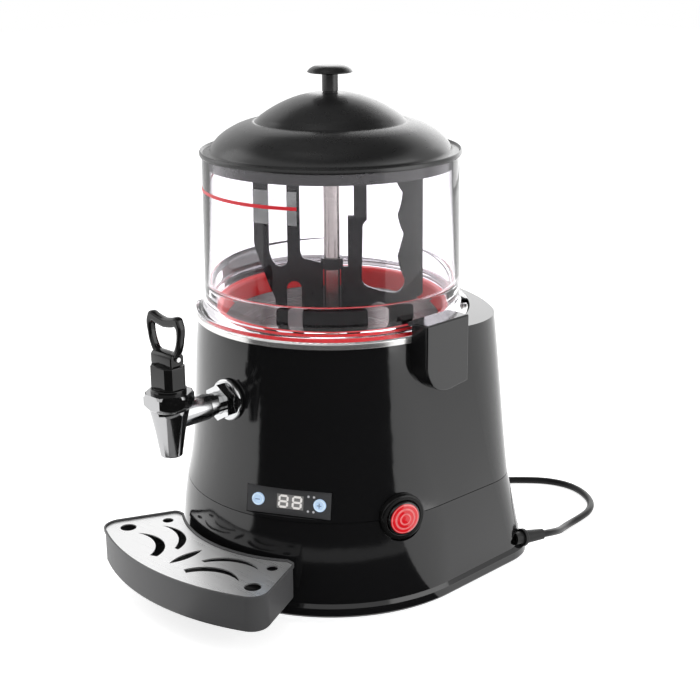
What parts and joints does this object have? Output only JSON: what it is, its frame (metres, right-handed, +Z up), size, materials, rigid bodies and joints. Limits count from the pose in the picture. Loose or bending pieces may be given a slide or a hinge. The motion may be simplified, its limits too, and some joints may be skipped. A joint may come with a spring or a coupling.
{
  "type": "hot chocolate dispenser",
  "caption": "Countertop hot drink dispenser: glossy housing, heated steel pot, clear bowl with lid, driven paddle, self-closing tap with loop handle, hooked-on drip tray.",
  "frame": {"origin": "on the table, midway between the sides and between the tray's front and the back of the base", "axes": "+Z up (the longest extent), +X to the side that the panel and switch are on (the shortest extent), -Y towards the tap"},
  "size_m": [0.2996, 0.5336, 0.465],
  "materials": {
    "black_gloss": "moulded, glossy black",
    "black_satin": "moulded, satin black",
    "clear_plastic": "clear moulded polycarbonate",
    "steel": "stainless steel, fine satin",
    "chrome": "bright chromium plating",
    "red_rubber": "red silicone rubber",
    "black_rubber": "black rubber",
    "red_plastic": "translucent red, lit from behind",
    "dark_panel": "dark grey overlay film",
    "display": "smoked window over lit digits",
    "lamps": "clear lamp lenses",
    "key_plastic": "pale blue keys",
    "sheet_metal": "zinc-plated sheet",
    "aluminium": "cast aluminium",
    "circuit": "green circuit board",
    "white_plastic": "off-white plastic",
    "brass": "brass",
    "cord": "black cord sheath"
  },
  "bodies": {
    "housing": {"upper_housing": "black_gloss", "base_housing": "black_gloss", "base_plate": "sheet_metal", "rubber_feet": "black_rubber", "foot_screws": "sheet_metal", "housing_screws": "sheet_metal", "rear_vent_cover": "sheet_metal", "steel_pot": "steel", "bowl_gasket": "red_rubber", "heater_ring": "aluminium", "thermal_cutout": "white_plastic", "temperature_probe": "steel", "shaft_seal": "black_rubber", "pot_pillars": "sheet_metal", "bracket_screws": "sheet_metal", "motor_bracket": "sheet_metal", "gearbox": "aluminium", "gear_motor": "sheet_metal", "control_board": "circuit", "panel_overlay": "dark_panel", "digit_display": "display", "indicator_lamps": "lamps", "switch_bezel": "black_satin", "switch_body": "black_satin", "power_board": "circuit", "terminal_block": "white_plastic", "tap_body": "chrome", "tap_shank": "chrome", "tap_flange": "chrome", "tap_nut": "chrome", "flange_seal": "black_rubber", "pot_nut": "brass", "pot_seal": "black_rubber", "tap_bonnet": "black_satin", "strain_relief": "black_rubber", "mains_lead": "cord", "lead_coil": "cord", "mains_plug": "black_rubber"},
    "bowl": {"bowl": "clear_plastic"},
    "lid": {"lid_shell": "black_satin", "lid_knob": "black_satin", "knob_screw": "steel"},
    "agitator": {"paddle": "black_satin", "mixer_tube": "steel", "mixer_cap": "black_satin", "drive_shaft": "steel", "drive_coupling": "brass"},
    "tap_stem": {"tap_plunger": "steel", "seat_cup": "black_rubber", "handle_pin": "steel", "tap_spring": "steel"},
    "tap_lever": {"tap_handle": "black_satin"},
    "tray": {"drip_tray": "black_satin"},
    "plate": {"drip_plate": "steel"},
    "minus_key": {"minus_button": "key_plastic"},
    "plus_key": {"plus_button": "key_plastic"},
    "power_key": {"power_button": "red_plastic"}
  },
  "joints": [
    {"name": "bowl_turn", "type": "hinge", "parent": "housing", "child": "bowl", "pos_m": [0, 0.0273, 0.253], "axis": [0, 0, 1], "range_deg": [-30, 0]},
    {"name": "lid_lift", "type": "slide", "parent": "bowl", "child": "lid", "axis": [0, 0, 1], "range_m": [0, 0.12]},
    {"name": "paddle_spin", "type": "hinge", "parent": "housing", "child": "agitator", "pos_m": [0, 0.0273, 0.2], "axis": [0, 0, 1], "continuous": true},
    {"name": "tap_lift", "type": "slide", "parent": "housing", "child": "tap_stem", "axis": [0, 0, 1], "range_m": [0, 0.0045], "deforming": ["tap_spring"]},
    {"name": "tap_tilt", "type": "hinge", "parent": "tap_stem", "child": "tap_lever", "pos_m": [0, -0.1647, 0.243], "axis": [1, 0, 0], "range_deg": [0, 50.2], "stiffness_Nm_per_rad": 0.2, "springref_deg": -28.65},
    {"name": "tray_slide", "type": "slide", "parent": "housing", "child": "tray", "axis": [0, -1, 0], "range_m": [0, 0.06]},
    {"name": "plate_lift", "type": "slide", "parent": "tray", "child": "plate", "axis": [0, 0, 1], "range_m": [0, 0.03]},
    {"name": "minus_press", "type": "slide", "parent": "housing", "child": "minus_key", "axis": [-0.4582, 0.8727, -0.1685], "range_m": [0, 0.001], "stiffness_N_per_m": 500, "springref_m": -0.001},
    {"name": "plus_press", "type": "slide", "parent": "housing", "child": "plus_key", "axis": [-0.4582, 0.8727, -0.1685], "range_m": [0, 0.001], "stiffness_N_per_m": 500, "springref_m": -0.001},
    {"name": "power_press", "type": "slide", "parent": "housing", "child": "power_key", "axis": [-0.9426, 0.3338, 0], "range_m": [0, 0.0025], "stiffness_N_per_m": 600, "springref_m": -0.001}
  ],
  "couplings": [
    {"joint": "tap_tilt", "follows": "tap_lift", "rad_per_m": 193.93}
  ]
}
